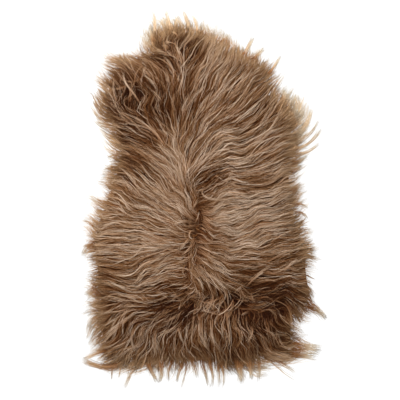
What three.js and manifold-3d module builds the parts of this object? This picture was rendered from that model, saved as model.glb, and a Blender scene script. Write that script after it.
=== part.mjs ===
// Long-haired sheepskin rug: one hide with its wool on, lying flat on the floor with the wool side up.
// Millimetres. X runs across the rug, Y from the tail end to the neck end, and Z up from the floor.
// The origin is on the floor, in the middle of the rug's box.

import * as THREE from "three";
import Module from "manifold-3d";

// Reach of the longest locks from the middle of the rug
const HALF_WIDTH = 348.6;
const HALF_LENGTH = 525;

// The lumpy slab of wool
const SLAB_ROWS = 54;
const SLAB_COLUMNS = 33;
const RIM_HEIGHT = 13; // where the wool's edge turns under
const RIM_INSET = 9; // how far the edge turns under on its way down to the floor
const SHOULDER = 85; // distance from the rim over which the pile rises to its full height
const END_BOW = 16; // how far the middle of each end stands out beyond its corners

// The soft ridges that combed locks make on top of the slab
const RIDGES = 210;
const RIDGE = { length: 115, width: 37, height: 17, wave: 6, waveLength: 62 };
const RIDGE_SIZE = { least: 0.65, most: 1.2 }; // share of the full height

// Places where the wool parts and the pile is thin
const HOLLOWS = [
  { name: "whorl on the back", x: -18, y: -72, radius: 42, depth: 15 },
  { name: "small curl above the whorl", x: 10, y: 22, radius: 26, depth: 10 },
  { name: "left end of the rump parting", x: -50, y: -302, radius: 48, depth: 12 },
  { name: "middle of the rump parting", x: 45, y: -296, radius: 48, depth: 9 },
  { name: "right end of the rump parting", x: 160, y: -304, radius: 50, depth: 13 },
];

// The plain locks that hang out over the rim all round
const RIM_LOCK = { spacing: 27, rootDepth: 42, width: 36, height: 22, leastReach: 12, mostReach: 36 };
const RIM_LOCK_WIDTH = { least: 0.8, most: 1.2 }; // share of the usual width
const LOCK_STEPS = 4;
const OUTWARD_SHARE = 0.55; // how far a rim lock turns from the combing towards the rim's outward normal
const LOCK_BOW = 7; // sideways bow of a rim lock
const BOW_PLACE = 0.55; // where along a lock its bow is widest

// Cross-sections from the neck end to the tail end. left and right are the edges of the dense wool,
// spine is the line where it parts, and pile is its height. The last six columns give the direction
// in which the wool is combed, in degrees from +X towards +Y, at six places across the section.
const SECTION_COLUMNS = [
  "left", "right", "spine", "pile", "rimLeft", "midLeft", "nearLeft", "nearRight", "midRight", "rimRight",
];
const SECTIONS = [
  { y: 497, left: -127, right: -15, spine: -71, pile: 30,
    rimLeft: 112, midLeft: 100, nearLeft: 92, nearRight: 88, midRight: 82, rimRight: 75 },
  { y: 477, left: -147, right: 13, spine: -63, pile: 36,
    rimLeft: 116, midLeft: 102, nearLeft: 93, nearRight: 87, midRight: 74, rimRight: 64 },
  { y: 449, left: -155, right: 71, spine: -52, pile: 40,
    rimLeft: 120, midLeft: 105, nearLeft: 95, nearRight: 85, midRight: 65, rimRight: 55 },
  { y: 419, left: -168, right: 108, spine: -52, pile: 42,
    rimLeft: 145, midLeft: 108, nearLeft: 96, nearRight: 82, midRight: 62, rimRight: 52 },
  { y: 399, left: -234, right: 150, spine: -52, pile: 43,
    rimLeft: 160, midLeft: 110, nearLeft: 97, nearRight: 80, midRight: 60, rimRight: 50 },
  { y: 382, left: -268, right: 178, spine: -55, pile: 44,
    rimLeft: 145, midLeft: 110, nearLeft: 97, nearRight: 78, midRight: 58, rimRight: 48 },
  { y: 351, left: -284, right: 192, spine: -57, pile: 46,
    rimLeft: 130, midLeft: 108, nearLeft: 97, nearRight: 70, midRight: 52, rimRight: 42 },
  { y: 309, left: -295, right: 223, spine: -57, pile: 48,
    rimLeft: 120, midLeft: 108, nearLeft: 97, nearRight: 66, midRight: 45, rimRight: 48 },
  { y: 267, left: -298, right: 276, spine: -57, pile: 48,
    rimLeft: 118, midLeft: 118, nearLeft: 97, nearRight: 62, midRight: 36, rimRight: 52 },
  { y: 220, left: -287, right: 298, spine: -57, pile: 48,
    rimLeft: 150, midLeft: 140, nearLeft: 100, nearRight: 60, midRight: 25, rimRight: 40 },
  { y: 169, left: -270, right: 295, spine: -46, pile: 48,
    rimLeft: 165, midLeft: 152, nearLeft: 104, nearRight: 72, midRight: 16, rimRight: 32 },
  { y: 125, left: -248, right: 279, spine: -38, pile: 48,
    rimLeft: 172, midLeft: 155, nearLeft: 107, nearRight: 74, midRight: 12, rimRight: 25 },
  { y: 80, left: -267, right: 265, spine: -29, pile: 49,
    rimLeft: 168, midLeft: 152, nearLeft: 110, nearRight: 70, midRight: 10, rimRight: 15 },
  { y: 15, left: -284, right: 265, spine: -18, pile: 50,
    rimLeft: 163, midLeft: 150, nearLeft: 115, nearRight: 55, midRight: 10, rimRight: 12 },
  { y: -60, left: -309, right: 276, spine: -18, pile: 50,
    rimLeft: 182, midLeft: 172, nearLeft: 155, nearRight: 12, midRight: 2, rimRight: 25 },
  { y: -125, left: -321, right: 290, spine: -27, pile: 50,
    rimLeft: 190, midLeft: 185, nearLeft: 235, nearRight: -40, midRight: -10, rimRight: 28 },
  { y: -195, left: -315, right: 298, spine: -32, pile: 51,
    rimLeft: 186, midLeft: 184, nearLeft: 240, nearRight: -48, midRight: -15, rimRight: 5 },
  { y: -256, left: -315, right: 307, spine: -29, pile: 49,
    rimLeft: 190, midLeft: 195, nearLeft: 240, nearRight: -50, midRight: -5, rimRight: -15 },
  { y: -295, left: -307, right: 309, spine: -18, pile: 46,
    rimLeft: 198, midLeft: 206, nearLeft: 252, nearRight: -75, midRight: -45, rimRight: -30 },
  { y: -335, left: -312, right: 268, spine: -10, pile: 50,
    rimLeft: 206, midLeft: 218, nearLeft: 262, nearRight: -90, midRight: -75, rimRight: -35 },
  { y: -368, left: -315, right: 256, spine: -1, pile: 50,
    rimLeft: 214, midLeft: 240, nearLeft: 265, nearRight: -90, midRight: -80, rimRight: -12 },
  { y: -405, left: -309, right: 272, spine: 4, pile: 46,
    rimLeft: 212, midLeft: 250, nearLeft: 266, nearRight: -90, midRight: -80, rimRight: -8 },
  { y: -438, left: -298, right: 282, spine: 4, pile: 40,
    rimLeft: 190, midLeft: 254, nearLeft: 266, nearRight: -88, midRight: -80, rimRight: -22 },
  { y: -476, left: -272, right: 215, spine: 4, pile: 30,
    rimLeft: 178, midLeft: 255, nearLeft: 266, nearRight: -86, midRight: -78, rimRight: -40 },
];
const NECK_END = SECTIONS[0].y;
const TAIL_END = SECTIONS[SECTIONS.length - 1].y;

// Where each comb column lies across a section: -1 is the left rim, 0 the spine and 1 the right rim
const COMB_PLACES = [
  { column: "rimLeft", across: -1 },
  { column: "midLeft", across: -0.5 },
  { column: "nearLeft", across: -0.1 },
  { column: "nearRight", across: 0.1 },
  { column: "midRight", across: 0.5 },
  { column: "rimRight", across: 1 },
];

// The long tufts that stand out from the rim, each from a root in the wool to its tip on the floor
const TUFTS = [
  { name: "neck left", rootX: -138, rootY: 470, tipX: -146, tipY: HALF_LENGTH, width: 24, bow: 4 },
  { name: "neck middle", rootX: -98, rootY: 485, tipX: -106, tipY: HALF_LENGTH, width: 28, bow: -4 },
  { name: "neck right", rootX: -50, rootY: 485, tipX: -56, tipY: HALF_LENGTH, width: 30, bow: 4 },
  { name: "shoulder upper", rootX: 100, rootY: 395, tipX: 133, tipY: 456, width: 26, bow: 6 },
  { name: "shoulder middle", rootX: 135, rootY: 380, tipX: 170, tipY: 428, width: 26, bow: 5 },
  { name: "shoulder lower", rootX: 172, rootY: 350, tipX: 209, tipY: 402, width: 26, bow: 5 },
  { name: "right bulge upper", rootX: 262, rootY: 195, tipX: 320, tipY: 232, width: 30, bow: 8 },
  { name: "right bulge lower", rootX: 265, rootY: 145, tipX: 328, tipY: 196, width: 30, bow: 12 },
  { name: "right waist", rootX: 250, rootY: 85, tipX: 312, tipY: 130, width: 26, bow: 12 },
  { name: "right flank", rootX: 262, rootY: -40, tipX: 302, tipY: -20, width: 24, bow: -8 },
  { name: "right haunch", rootX: 290, rootY: -262, tipX: HALF_WIDTH, tipY: -328, width: 46, bow: -16 },
  { name: "right tail", rootX: 250, rootY: -400, tipX: 332, tipY: -422, width: 52, bow: -4 },
  { name: "right tail under", rootX: 225, rootY: -430, tipX: 318, tipY: -444, width: 40, bow: 6 },
  { name: "tail right wisp", rootX: 185, rootY: -440, tipX: 262, tipY: -492, width: 24, bow: 8 },
  { name: "tail right", rootX: 48, rootY: -455, tipX: 57, tipY: -HALF_LENGTH, width: 30, bow: -8 },
  { name: "tail middle", rootX: 12, rootY: -455, tipX: 20, tipY: -518, width: 30, bow: 8 },
  { name: "tail left", rootX: -52, rootY: -440, tipX: -62, tipY: -HALF_LENGTH, width: 28, bow: 7 },
  { name: "tail far left", rootX: -200, rootY: -450, tipX: -228, tipY: -516, width: 26, bow: 6 },
  { name: "left tail", rootX: -240, rootY: -452, tipX: -HALF_WIDTH, tipY: -446, width: 60, bow: 9 },
  { name: "left haunch", rootX: -290, rootY: -262, tipX: -342, tipY: -278, width: 36, bow: -5 },
  { name: "left flank", rootX: -296, rootY: -118, tipX: -346, tipY: -155, width: 38, bow: 10 },
  { name: "left side", rootX: -285, rootY: -62, tipX: -HALF_WIDTH, tipY: -62, width: 30, bow: -6 },
];

const WOOL = new THREE.MeshStandardMaterial({ color: 0x7c6049, roughness: 0.95, metalness: 0 });

const sections = new THREE.CubicInterpolant(
  SECTIONS.map((section) => -section.y),
  SECTIONS.flatMap((section) => SECTION_COLUMNS.map((column) => section[column])),
  SECTION_COLUMNS.length,
);

// The cross-section at a place along the rug, as an object with the table's columns.
function sectionAt(y) {
  const values = sections.evaluate(-THREE.MathUtils.clamp(y, TAIL_END, NECK_END));
  return Object.fromEntries(SECTION_COLUMNS.map((column, i) => [column, values[i]]));
}

// The direction in which the wool lies at a point, as a unit vector.
function combAt(x, y) {
  const section = sectionAt(y);
  const half = x < section.spine ? section.spine - section.left : section.right - section.spine;
  const across = THREE.MathUtils.clamp((x - section.spine) / half, -1, 1);
  const next = Math.max(1, COMB_PLACES.findIndex((place) => across <= place.across));
  const from = COMB_PLACES[next - 1];
  const to = COMB_PLACES[next];
  const share = (across - from.across) / (to.across - from.across);
  return direction(section[from.column]).lerp(direction(section[to.column]), share).normalize();
}

function direction(degrees) {
  const angle = THREE.MathUtils.degToRad(degrees);
  return new THREE.Vector2(Math.cos(angle), Math.sin(angle));
}

// Numbers from a low to a high limit that look irregular and are the same on every run.
function scatter(index, seed, low, high) {
  const INDEX_RATE = 12.9898;
  const SEED_RATE = 78.233;
  const SPREAD = 43758.5453;
  const wave = Math.sin(index * INDEX_RATE + seed * SEED_RATE) * SPREAD;
  return THREE.MathUtils.lerp(low, high, wave - Math.floor(wave));
}

// The combed locks on top, spread evenly over the rug by a low-discrepancy sequence.
function makeRidges() {
  const STEP_ALONG = 0.7548776662;
  const STEP_ACROSS = 0.5698402910;
  const ridges = [];
  for (let i = 1; i <= RIDGES; i++) {
    const y = THREE.MathUtils.lerp(TAIL_END, NECK_END, (i * STEP_ALONG) % 1);
    const { left, right } = sectionAt(y);
    const x = THREE.MathUtils.lerp(left, right, (i * STEP_ACROSS) % 1);
    ridges.push({
      at: new THREE.Vector2(x, y),
      along: combAt(x, y),
      size: scatter(i, 1, RIDGE_SIZE.least, RIDGE_SIZE.most),
      phase: scatter(i, 2, 0, 2 * Math.PI),
    });
  }
  return ridges;
}

// The height that one ridge adds at a point.
function ridgeHeight(ridge, x, y) {
  const dx = x - ridge.at.x;
  const dy = y - ridge.at.y;
  const along = dx * ridge.along.x + dy * ridge.along.y;
  const wave = RIDGE.wave * Math.sin((2 * Math.PI * along) / RIDGE.waveLength + ridge.phase);
  const across = dy * ridge.along.x - dx * ridge.along.y + wave;
  const distance = Math.hypot((2 * along) / RIDGE.length, (2 * across) / RIDGE.width);
  return RIDGE.height * ridge.size * Math.exp(-distance * distance);
}

function hollowDepth(hollow, x, y) {
  const distance = Math.hypot(x - hollow.x, y - hollow.y) / hollow.radius;
  return hollow.depth * Math.exp(-distance * distance);
}

// Height of the wool's top surface at a point that lies a distance inside the rim.
function topHeight(x, y, pile, toRim, ridges) {
  const short = 1 - THREE.MathUtils.clamp(toRim / SHOULDER, 0, 1);
  const rise = 1 - short * short;
  const lump = Math.max(...ridges.map((ridge) => ridgeHeight(ridge, x, y)));
  const hollow = HOLLOWS.reduce((sum, place) => sum + hollowDepth(place, x, y), 0);
  return RIM_HEIGHT + rise * (pile - RIM_HEIGHT + lump - RIDGE.height / 2 - hollow);
}

// A corner of the slab's grid, on its top surface. The rows bow out towards the two ends.
function topPoint(row, column, ridges) {
  const station = THREE.MathUtils.lerp(NECK_END, TAIL_END, row / SLAB_ROWS);
  const { left, right, pile } = sectionAt(station);
  const across = (2 * column) / SLAB_COLUMNS - 1;
  const x = THREE.MathUtils.lerp(left, right, column / SLAB_COLUMNS);
  const y = station - END_BOW * across * across * (1 - (2 * row) / SLAB_ROWS);
  const toRim = Math.min(x - left, right - x, NECK_END - station, station - TAIL_END);
  return new THREE.Vector3(x, y, topHeight(x, y, pile, toRim, ridges));
}

// The rim as a ring of grid corners, running anticlockwise seen from above.
function rimRing(index) {
  const ring = [];
  for (let row = 0; row < SLAB_ROWS; row++) ring.push(index(row, 0));
  for (let column = 0; column < SLAB_COLUMNS; column++) ring.push(index(SLAB_ROWS, column));
  for (let row = SLAB_ROWS; row > 0; row--) ring.push(index(row, SLAB_COLUMNS));
  for (let column = SLAB_COLUMNS; column > 0; column--) ring.push(index(0, column));
  return ring;
}

// Outward normal of a closed ring of points at one of them.
function outward(points, i) {
  const before = points[(i + points.length - 1) % points.length];
  const after = points[(i + 1) % points.length];
  const along = new THREE.Vector2(after.x - before.x, after.y - before.y).normalize();
  return new THREE.Vector2(along.y, -along.x);
}

// The slab: a lumpy top, an edge that turns under all round, and a flat underside on the floor.
function makeSlab() {
  const ridges = makeRidges();
  const points = [];
  const triangles = [];
  const index = (row, column) => row * (SLAB_COLUMNS + 1) + column;

  for (let row = 0; row <= SLAB_ROWS; row++) {
    for (let column = 0; column <= SLAB_COLUMNS; column++) points.push(topPoint(row, column, ridges));
  }
  for (let row = 0; row < SLAB_ROWS; row++) {
    for (let column = 0; column < SLAB_COLUMNS; column++) {
      const corner = index(row, column);
      const below = index(row + 1, column);
      triangles.push([corner, below, below + 1], [corner, below + 1, corner + 1]);
    }
  }

  const ring = rimRing(index);
  const rim = ring.map((i) => points[i]);
  const floor = rim.map((point, i) => {
    const normal = outward(rim, i);
    return new THREE.Vector2(point.x - RIM_INSET * normal.x, point.y - RIM_INSET * normal.y);
  });
  const firstFloor = points.length;
  floor.forEach((point) => points.push(new THREE.Vector3(point.x, point.y, 0)));
  ring.forEach((here, i) => {
    const next = (i + 1) % ring.length;
    const down = firstFloor + i;
    const downNext = firstFloor + next;
    triangles.push([here, down, downNext], [here, downNext, ring[next]]);
  });
  for (const [a, b, c] of THREE.ShapeUtils.triangulateShape(floor, [])) {
    triangles.push([firstFloor + a, firstFloor + c, firstFloor + b]);
  }
  return { points, triangles, rim };
}

// A lock that lies on the floor: a three-sided taper on a bowed line, flat underneath.
function makeLock({ rootX, rootY, tipX, tipY, width, height, bow }) {
  const root = new THREE.Vector2(rootX, rootY);
  const tip = new THREE.Vector2(tipX, tipY);
  const side = new THREE.Vector2(rootY - tipY, tipX - rootX).normalize();
  const middle = root.clone().lerp(tip, BOW_PLACE).addScaledVector(side, 2 * bow);
  const line = new THREE.QuadraticBezierCurve(root, middle, tip);
  const points = [];
  const triangles = [[0, 2, 1]];
  for (let step = 0; step < LOCK_STEPS; step++) {
    const share = step / LOCK_STEPS;
    const at = line.getPoint(share);
    const along = line.getTangent(share);
    const taper = 1 - share * share;
    const halfWidth = (taper * width) / 2;
    points.push(new THREE.Vector3(at.x - along.y * halfWidth, at.y + along.x * halfWidth, 0));
    points.push(new THREE.Vector3(at.x, at.y, taper * height));
    points.push(new THREE.Vector3(at.x + along.y * halfWidth, at.y - along.x * halfWidth, 0));
  }
  for (let step = 0; step < LOCK_STEPS - 1; step++) {
    for (let edge = 0; edge < 3; edge++) {
      const a = 3 * step + edge;
      const b = 3 * step + ((edge + 1) % 3);
      triangles.push([a, b, b + 3], [a, b + 3, a + 3]);
    }
  }
  const last = 3 * (LOCK_STEPS - 1);
  points.push(new THREE.Vector3(tip.x, tip.y, 0));
  for (let edge = 0; edge < 3; edge++) {
    triangles.push([last + edge, last + ((edge + 1) % 3), points.length - 1]);
  }
  return { points, triangles };
}

// The plain locks, evenly spaced along the rim and turned out from the combing there.
function makeRimLocks(rim) {
  const locks = [];
  let walked = 0;
  rim.forEach((point, i) => {
    walked += point.distanceTo(rim[(i + 1) % rim.length]);
    if (walked < RIM_LOCK.spacing) return;
    walked -= RIM_LOCK.spacing;
    const away = combAt(point.x, point.y).addScaledVector(outward(rim, i), OUTWARD_SHARE).normalize();
    const reach = scatter(i, 3, RIM_LOCK.leastReach, RIM_LOCK.mostReach);
    const tipX = point.x + away.x * reach;
    const tipY = point.y + away.y * reach;
    locks.push(
      makeLock({
        rootX: point.x - away.x * RIM_LOCK.rootDepth,
        rootY: point.y - away.y * RIM_LOCK.rootDepth,
        tipX: THREE.MathUtils.clamp(tipX, -HALF_WIDTH, HALF_WIDTH),
        tipY: THREE.MathUtils.clamp(tipY, -HALF_LENGTH, HALF_LENGTH),
        width: RIM_LOCK.width * scatter(i, 4, RIM_LOCK_WIDTH.least, RIM_LOCK_WIDTH.most),
        height: RIM_LOCK.height,
        bow: scatter(i, 5, -LOCK_BOW, LOCK_BOW),
      }),
    );
  });
  return locks;
}

const wasm = await Module();
wasm.setup();

function solidOf({ points, triangles }) {
  return new wasm.Manifold(
    new wasm.Mesh({
      numProp: 3,
      vertProperties: new Float32Array(points.flatMap((point) => point.toArray())),
      triVerts: new Uint32Array(triangles.flat()),
    }),
  );
}

function geometryOf(solid) {
  const mesh = solid.getMesh();
  const geometry = new THREE.BufferGeometry();
  geometry.setAttribute("position", new THREE.BufferAttribute(mesh.vertProperties, 3));
  geometry.setIndex(new THREE.BufferAttribute(mesh.triVerts, 1));
  geometry.computeVertexNormals();
  return geometry;
}

// The whole fleece: the slab with every lock fused to it at its root.
function makeFleece() {
  const slab = makeSlab();
  const tufts = TUFTS.map((tuft) => makeLock({ ...tuft, height: RIM_LOCK.height }));
  const locks = [...makeRimLocks(slab.rim), ...tufts];
  const solid = locks.reduce((joined, lock) => joined.add(solidOf(lock)), solidOf(slab));
  const fleece = new THREE.Mesh(geometryOf(solid), WOOL);
  fleece.name = "fleece";
  return fleece;
}

const rug = new THREE.Group();
rug.name = "sheepskin_rug";
rug.add(makeFleece());

export default rug;
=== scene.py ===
"""Looks of a long-haired sheepskin rug that lies flat on a pale floor, wool side up.

The tables and the working of the wool are in millimetres, and MM turns them into Blender's metres.
X runs across the rug, Y from the tail end to the neck end, and Z up from the floor.
"""

import math
from collections import namedtuple
from itertools import zip_longest

import bpy
import numpy as np
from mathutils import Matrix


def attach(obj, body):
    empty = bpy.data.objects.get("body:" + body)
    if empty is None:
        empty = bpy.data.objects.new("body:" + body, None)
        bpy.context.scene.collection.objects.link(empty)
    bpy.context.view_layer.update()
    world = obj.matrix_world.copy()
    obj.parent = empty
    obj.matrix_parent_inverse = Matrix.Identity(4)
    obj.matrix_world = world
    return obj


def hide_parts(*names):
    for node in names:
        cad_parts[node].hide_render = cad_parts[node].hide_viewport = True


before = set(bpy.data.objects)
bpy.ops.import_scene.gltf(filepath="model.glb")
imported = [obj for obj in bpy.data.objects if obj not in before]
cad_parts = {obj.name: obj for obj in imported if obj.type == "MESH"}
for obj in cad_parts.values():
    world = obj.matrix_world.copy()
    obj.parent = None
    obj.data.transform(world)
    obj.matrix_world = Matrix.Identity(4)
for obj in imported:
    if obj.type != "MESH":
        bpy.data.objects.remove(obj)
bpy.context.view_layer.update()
MM = 0.001
SEED = 20

# Reach of the longest locks from the middle of the rug, and how far single fibres may stand out past it
HALF_WIDTH = 348.6
HALF_LENGTH = 525
STRAY_REACH = 20

# Where the wool reaches less far over the rim, its dense part draws back by LEAST_REACH at most. Past that
# its loose ends get shorter, until CROP farther on only LEAST_LOOSE of their length is left.
LEAST_REACH = -4
CROP = 20
LEAST_LOOSE = 0.1
USUAL_REACH = 4

# The form of the pile
RIM_HEIGHT = 13
SHOULDER = 85  # distance from the rim over which the pile rises to its full height
END_BOW = 16  # how far the middle of each end stands out beyond its corners
HANG = 18  # distance beyond the rim over which hanging wool comes down to the floor
HIGHEST = 69  # no strand rises above this
FLOOR_GAP = 0.3  # between the lowest strands and the floor
HEIGHT_BLUR = 4

# The rim's warm colour, partly the thinning wool's own and partly painted glow of light shining through
# thin
# fibres: its share at the rim, how far in it goes, and how far out the wool is palest
RIM_WARMTH = 0.85
RIM_GLOW = 18
PALE_REACH = 28

# Places across a section where it gives the comb direction, from -1 at the left rim to 1 at the right rim
COMB_PLACES = (-1, -0.65, -0.3, -0.03, 0.03, 0.3, 0.65, 1)

# Cross-sections from the neck end to the tail end. left and right are the edges of the dense wool, spine is
# the line where it parts, pile its height, and the rest the comb direction, in degrees from +X towards +Y.
SECTION_COLUMNS = ("y", "left", "right", "spine", "pile", *COMB_PLACES)
SECTIONS = (
    (486, -130, -36, -71, 30, 105, 100, 95, 92, 92, 92, 95, 98),
    (465, -138, 14, -63, 36, 112, 105, 97, 93, 90, 86, 82, 88),
    (446, -143, 76, -52, 40, 116, 110, 98, 95, 88, 75, 62, 65),
    (419, -158, 106, -52, 42, 140, 125, 110, 98, 84, 70, 56, 50),
    (399, -262, 152, -52, 43, 160, 135, 118, 102, 78, 64, 50, 50),
    (382, -268, 178, -55, 44, 152, 140, 124, 104, 72, 60, 46, 50),
    (351, -280, 192, -57, 46, 140, 114, 126, 100, 66, 54, 46, 55),
    (309, -288, 203, -57, 48, 132, 105, 122, 84, 62, 48, 42, 70),
    (267, -289, 235, -57, 48, 140, 125, 125, 80, 64, 48, 36, 60),
    (220, -274, 256, -57, 48, 148, 145, 130, 78, 70, 48, 22, 40),
    (169, -257, 260, -46, 48, 150, 145, 132, 86, 84, 46, 14, 26),
    (125, -247, 260, -38, 48, 165, 148, 130, 95, 84, 40, 12, 24),
    (80, -267, 257, -29, 49, 168, 142, 125, 92, 66, 28, 12, 25),
    (15, -285, 264, -18, 50, 150, 152, 142, 115, 30, 16, 16, 25),
    (-60, -314, 276, -18, 50, 168, 172, 170, 160, 10, 4, 22, 40),
    (-125, -321, 299, -27, 50, 195, 170, 182, 204, -10, -20, 10, 30),
    (-195, -315, 305, -32, 51, 185, 178, 188, 216, -33, -26, 15, -5),
    (-256, -312, 313, -29, 49, 180, 188, 196, 218, -44, -20, 18, -34),
    (-292, -307, 314, -18, 46, 180, 200, 215, 245, -70, -46, -10, -38),
    (-313, -304, 308, -14, 47, 186, 206, 222, 250, -80, -60, -28, -40),
    (-331, -303, 281, -10, 50, 194, 214, 231, 254, -90, -78, -56, -42),
    (-368, -304, 261, -1, 50, 210, 240, 262, 272, -80, -80, -58, -24),
    (-405, -302, 267, 4, 46, 230, 272, 292, 296, -58, -78, -62, -10),
    (-436, -287, 268, 4, 40, 225, 262, 282, 292, -60, -85, -40, 0),
    (-469, -268, 174, 4, 30, 212, 245, 265, 275, -72, -90, -55, -15),
)

# The parting across the rump, where the back's wool ends and the tail's begins
RUMP_PARTING = ((-175, -296), (-120, -284), (-57, -290), (41, -285), (144, -290), (220, -300), (262, -318))

# Patches where the wool looks different: how much paler, wavier and higher it is there, how much farther
# it reaches over the rim, and how much deeper the rim's warm colour, partly painted glow, goes
PATCH_COLUMNS = ("name", "x", "y", "radius_x", "radius_y", "tone", "wave", "lift", "reach", "glow")
PATCHES = (
    ("neck middle", -80, 402, 62, 48, -0.76, 2, -3),
    ("neck pale", 20, 385, 45, 55, 0.30),
    ("neck grey", -105, 348, 45, 35, 0.22, 1),
    ("neck tip", -80, 500, 95, 45, 0.30, 0, 0, 58, 44),
    ("neck corner", -160, 440, 20, 30, 0, 0, 0, -14),
    ("neck right", 75, 285, 100, 60, 0.05),
    ("neck side", 95, 440, 90, 50, 0.28, 0, 0, -4, 22),
    ("left shoulder", -175, 275, 95, 80, -0.41, 4, -4),
    ("left back upper", -90, 185, 60, 65, -0.32),
    ("left back", -170, 135, 60, 70, -0.26),
    ("left shoulder top", -205, 395, 55, 30, 0.27, 0, 0, -5, 8),
    ("left shoulder rim", -250, 245, 48, 75, -0.26, 0, 0, -2, -4),
    ("right bulge", 280, 200, 32, 85, 0.24, 0, 0, 36, 22),
    ("right bulge top", 250, 280, 50, 42, 0.38, 0, 0, 46, 36),
    ("right waist", 225, 90, 55, 75, 0.22),
    ("left waist", -202, 88, 38, 66, -0.32),
    ("left waist rim", -268, 130, 30, 70, 0.34, 0, 0, 4, 28),
    ("back", -62, 92, 140, 70, 0.19),
    ("right shoulder low", 218, 232, 55, 38, -0.44),
    ("right back", 140, 155, 100, 40, 0.15),
    ("right back low", 125, 58, 40, 26, -0.08),
    ("right of the spine", 50, -110, 45, 110, 0.20),
    ("left flank", -145, -98, 120, 75, 0.09),
    ("left haunch", -135, -238, 68, 56, 0.25),
    ("left side", -275, -260, 60, 112, -0.17, 0, 0, 5),
    ("spine", -16, -5, 32, 85, -0.29, 2, -4),
    ("whorl", -18, -72, 30, 30, 0.06, 2, -2),
    ("whorl left", -45, -120, 34, 28, 0.12),
    ("below the whorl", 0, -180, 45, 60, 0.08),
    ("curl", 10, 22, 26, 26, -0.12, 1, -8),
    # The curl hollow's darker tone is painted shade in the hollow
    ("curl hollow", 20, 46, 36, 18, -0.42, 1, -8),
    ("right flank", 108, -42, 115, 80, 0.27),
    ("right flank tuft", 308, -130, 32, 38, 0.04, 0, 0, 20, 16),
    ("right flank rim", 312, -232, 38, 38, -0.04, 0, 0, -26, 12),
    ("right haunch", 128, -228, 85, 58, -0.23),
    ("right haunch rim", 332, -294, 42, 46, -0.10, 0, 0, -44, 10),
    ("rump parting left", -55, -294, 68, 42, -0.70, 3, -14),
    ("rump parting middle", 25, -312, 38, 50, 0.18, 4, -2),
    ("rump parting right", 135, -294, 95, 48, -0.69, 3, -14),
    ("rump side left", -212, -288, 42, 30, -0.16),
    ("tail left", -108, -372, 120, 80, -0.09, 5),
    ("tail right", 130, -391, 140, 80, -0.13, 5),
    ("tail side right", 248, -385, 40, 42, -0.48, 0, 0, 0, 14),
    ("tail notch right", 290, -332, 32, 26, 0.32, 0, 0, 4, 10),
    ("tail dark band", 80, -375, 34, 75, -0.22),
    ("tail side left", -312, -365, 32, 58, -0.12, 0, 0, 10),
    ("tail gap left", -165, -462, 10, 25, 0, 0, 0, -26),
    ("tail gap middle", -95, -462, 10, 25, 0, 0, 0, -26),
    ("tail notch", -20, -462, 16, 28, 0.20, 0, 0, -30),
    ("tail end middle", 90, -445, 52, 50, -0.40, 3, 0, 46, -6),
    ("tail end right", 190, -450, 70, 34, 0.62, 0, 0, -22, 10),
    ("tail end left", -140, -450, 85, 40, -0.18, 2, 0, 34, -5),
    ("tail corner left", -255, -465, 45, 30, 0, 0, 0, 26, -4),
    ("tail horn", -305, -455, 60, 30, 0, 0, 0, 0, -14),
)

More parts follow.
